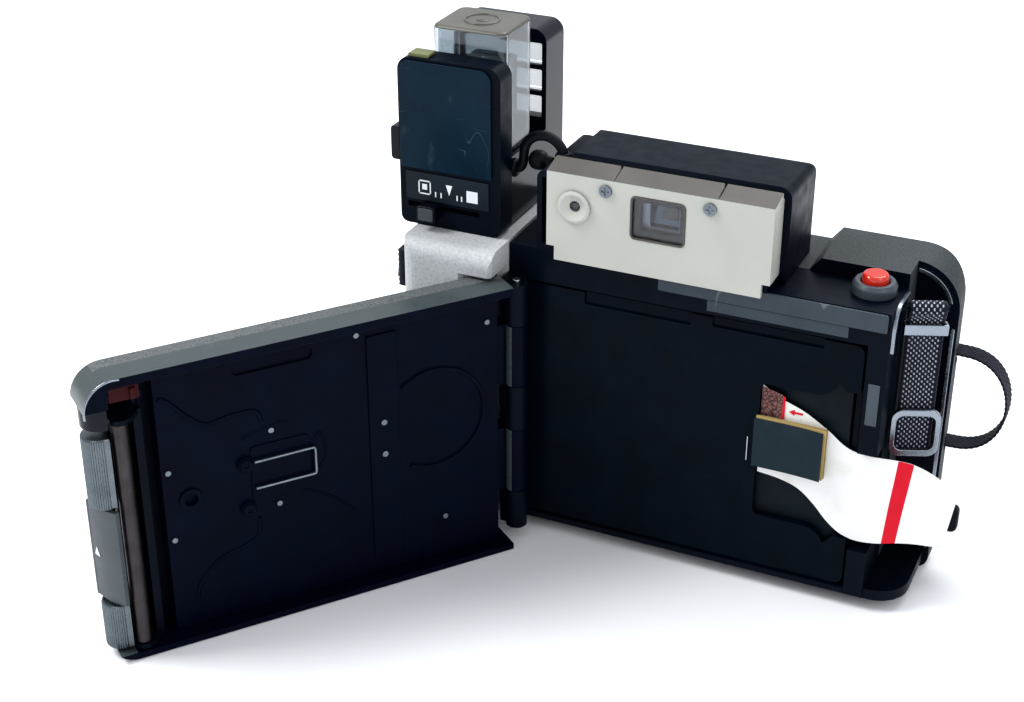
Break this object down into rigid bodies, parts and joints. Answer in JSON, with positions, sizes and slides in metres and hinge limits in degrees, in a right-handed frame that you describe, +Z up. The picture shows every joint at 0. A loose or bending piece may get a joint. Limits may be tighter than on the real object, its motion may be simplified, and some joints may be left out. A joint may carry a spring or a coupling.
{
  "type": "folding pack film camera",
  "caption": "Folding pack-film camera with its film door open, bellows front drawn out, film pack with a paper leader, twin-window viewfinder, cube flash and wrist strap.",
  "frame": {"origin": "mouth of the tripod socket in the camera's underside", "axes": "+X to the right as seen from behind, +Y out of the lens, +Z up"},
  "size_m": [0.2735, 0.2729, 0.1926],
  "materials": {
    "dark_shell": "fine leather grain, mid grey",
    "light_shell": "fine leather grain, light grey",
    "light_trim": "smooth light grey",
    "chamber_black": "matt black",
    "grey_metal": "satin grey",
    "foam": "soft foam",
    "steel": "plated",
    "black_plastic": "satin black",
    "beige_plastic": "satin beige",
    "clear_glass": "clear",
    "red_plastic": "gloss red",
    "webbing": "woven nylon webbing with white flecks",
    "pack_black": "satin black sheet metal",
    "film": "black paper",
    "pad_card": "dark card with a tan edge",
    "leader_paper": "white paper with one red band",
    "door_leatherette": "grey leather grain",
    "door_black": "matt black",
    "roller_steel": "ground steel",
    "shutter_grey": "satin grey",
    "ring_metal": "turned",
    "bellows_cloth": "pleated black cloth",
    "flash_black": "gloss black, scuffed",
    "flash_gloss": "gloss blue-black, scratched",
    "white_plastic": "white",
    "smoke_clear": "clear, lightly smoked",
    "cube_foil": "foil reflectors in clear plastic",
    "cord_rubber": "black",
    "cell_wrap": "plain wrapped cells"
  },
  "bodies": {
    "body": {"front_shell": "dark_shell", "chamber_frame": "chamber_black", "battery_block": "light_shell", "batteries": "cell_wrap", "battery_contacts": "steel", "rear_rail": "grey_metal", "rail_seals": "foam", "shell_trim": "light_trim", "tripod_bush": "steel", "hinge_pin": "steel", "viewfinder_housing": "black_plastic", "viewfinder_cover": "beige_plastic", "viewfinder_glass": "clear_glass", "focus_eyepiece": "beige_plastic", "viewfinder_screws": "steel", "shutter_collar": "grey_metal", "button_spring": "steel", "strap_webbing": "webbing", "strap_keeper": "light_trim", "strap_buckle": "steel", "strap_loop": "webbing", "film_pack_shell": "pack_black", "film_stack": "film", "tab_pad": "pad_card", "paper_leader": "leader_paper", "bellows": "bellows_cloth", "flash_housing": "flash_black", "flash_plate": "flash_gloss", "sync_cord": "cord_rubber", "cord_fittings": "cord_rubber"},
    "film_door": {"door_shell": "door_leatherette", "door_inner_plate": "door_black", "door_spring_wire": "steel", "door_rivets": "steel", "door_grips": "grey_metal"},
    "roller_unit": {"roller_frame": "black_plastic"},
    "upper_roller": {"roller_upper": "roller_steel"},
    "lower_roller": {"roller_lower": "steel"},
    "clip": {"roller_clip": "red_plastic"},
    "latch": {"door_latch": "black_plastic"},
    "flap": {"exit_flap": "grey_metal"},
    "release_button": {"shutter_button": "red_plastic"},
    "slider": {"exposure_slider": "black_plastic"},
    "louver_1": {"louver_lower": "white_plastic"},
    "louver_2": {"louver_middle": "white_plastic"},
    "louver_3": {"louver_upper": "white_plastic"},
    "catch": {"flash_catch": "black_plastic"},
    "shield": {"cube_shield": "smoke_clear"},
    "cube": {"flashcube": "cube_foil"},
    "cell_door": {"battery_door": "light_trim"},
    "front": {"front_standard": "chamber_black", "shutter_housing": "shutter_grey"},
    "lens": {"lens_barrel": "black_plastic", "lens_glass": "clear_glass"},
    "ring": {"exposure_ring": "ring_metal"},
    "cocking": {"cocking_lever": "black_plastic"},
    "focus": {"focus_bar": "black_plastic"},
    "strut_left": {"left_strut": "steel"},
    "strut_right": {"right_strut": "steel"}
  },
  "joints": [
    {"name": "door_hinge", "type": "hinge", "parent": "body", "child": "film_door", "pos_m": [-0.0526, -0.038, 0.055], "axis": [0, 0, 1], "range_deg": [0, 128]},
    {"name": "roller_unit_hinge", "type": "hinge", "parent": "film_door", "child": "roller_unit", "pos_m": [-0.14247, -0.14735, 0.048], "axis": [0, 0, 1], "range_deg": [0, 60]},
    {"name": "upper_roller_spin", "type": "hinge", "parent": "roller_unit", "child": "upper_roller", "pos_m": [-0.1412, -0.1566, 0.048], "axis": [0, 0, 1], "continuous": true},
    {"name": "lower_roller_spin", "type": "hinge", "parent": "roller_unit", "child": "lower_roller", "pos_m": [-0.14592, -0.1529, 0.048], "axis": [0, 0, 1], "continuous": true},
    {"name": "clip_slide", "type": "slide", "parent": "film_door", "child": "clip", "axis": [0.6157, 0.788, 0], "range_m": [0, 0.004]},
    {"name": "latch_slide", "type": "slide", "parent": "film_door", "child": "latch", "axis": [0, 0, -1], "range_m": [0, 0.003]},
    {"name": "flap_hinge", "type": "hinge", "parent": "film_door", "child": "flap", "pos_m": [-0.15513, -0.15916, 0.041], "axis": [0, 0, 1], "range_deg": [-75, 0], "stiffness_Nm_per_rad": 0.002},
    {"name": "release_travel", "type": "slide", "parent": "body", "child": "release_button", "axis": [0, 0, 1], "range_m": [-0.0025, 0], "stiffness_N_per_m": 300, "springref_m": 0.002, "deforming": ["button_spring"]},
    {"name": "exposure_slide", "type": "slide", "parent": "body", "child": "slider", "axis": [1, 0, 0], "range_m": [-0.007, 0.014]},
    {"name": "louver_1_tilt", "type": "hinge", "parent": "body", "child": "louver_1", "pos_m": [-0.082, 0.0179, 0.1558], "axis": [1, 0, 0], "range_deg": [0, 60]},
    {"name": "louver_2_tilt", "type": "hinge", "parent": "body", "child": "louver_2", "pos_m": [-0.082, 0.0179, 0.1658], "axis": [1, 0, 0], "range_deg": [0, 60]},
    {"name": "louver_3_tilt", "type": "hinge", "parent": "body", "child": "louver_3", "pos_m": [-0.082, 0.0179, 0.1758], "axis": [1, 0, 0], "range_deg": [0, 60]},
    {"name": "catch_press", "type": "slide", "parent": "body", "child": "catch", "axis": [1, 0, 0], "range_m": [0, 0.0015], "stiffness_N_per_m": 300, "springref_m": -0.001},
    {"name": "shield_lift", "type": "slide", "parent": "body", "child": "shield", "axis": [0, 0, 1], "range_m": [0, 0.036]},
    {"name": "cube_turn", "type": "hinge", "parent": "body", "child": "cube", "pos_m": [-0.0775, -0.0085, 0.15], "axis": [0, 0, 1], "continuous": true},
    {"name": "cell_door_hinge", "type": "hinge", "parent": "body", "child": "cell_door", "pos_m": [-0.0912, 0.0209, 0.052], "axis": [0, 0, 1], "range_deg": [0, 110]},
    {"name": "front_draw", "type": "slide", "parent": "body", "child": "front", "axis": [0, 1, 0], "range_m": [-0.082, 0], "deforming": ["bellows"]},
    {"name": "lens_focus", "type": "slide", "parent": "front", "child": "lens", "axis": [0, 1, 0], "range_m": [0, 0.003]},
    {"name": "exposure_ring_turn", "type": "hinge", "parent": "front", "child": "ring", "pos_m": [0.005, 0.0966, 0.05], "axis": [0, 1, 0], "range_deg": [-40, 40]},
    {"name": "cocking_turn", "type": "hinge", "parent": "front", "child": "cocking", "pos_m": [0.034, 0.0965, 0.068], "axis": [0, 1, 0], "range_deg": [-40, 0], "stiffness_Nm_per_rad": 0.02},
    {"name": "focus_slide", "type": "slide", "parent": "front", "child": "focus", "axis": [1, 0, 0], "range_m": [0, 0.009]},
    {"name": "left_strut_fold", "type": "hinge", "parent": "body", "child": "strut_left", "pos_m": [-0.0437, 0, 0.014], "axis": [1, 0, 0], "range_deg": [0, 60.5]},
    {"name": "right_strut_fold", "type": "hinge", "parent": "body", "child": "strut_right", "pos_m": [0.0537, 0, 0.014], "axis": [1, 0, 0], "range_deg": [0, 60.5]}
  ],
  "couplings": [
    {"joint": "louver_1_tilt", "follows": "focus_slide", "rad_per_m": 115},
    {"joint": "louver_2_tilt", "follows": "focus_slide", "rad_per_m": 115},
    {"joint": "louver_3_tilt", "follows": "focus_slide", "rad_per_m": 115},
    {"joint": "lens_focus", "follows": "focus_slide", "ratio": 0.32},
    {"joint": "left_strut_fold", "follows": "front_draw", "rad_per_m": -12.756},
    {"joint": "right_strut_fold", "follows": "front_draw", "rad_per_m": -12.756}
  ]
}
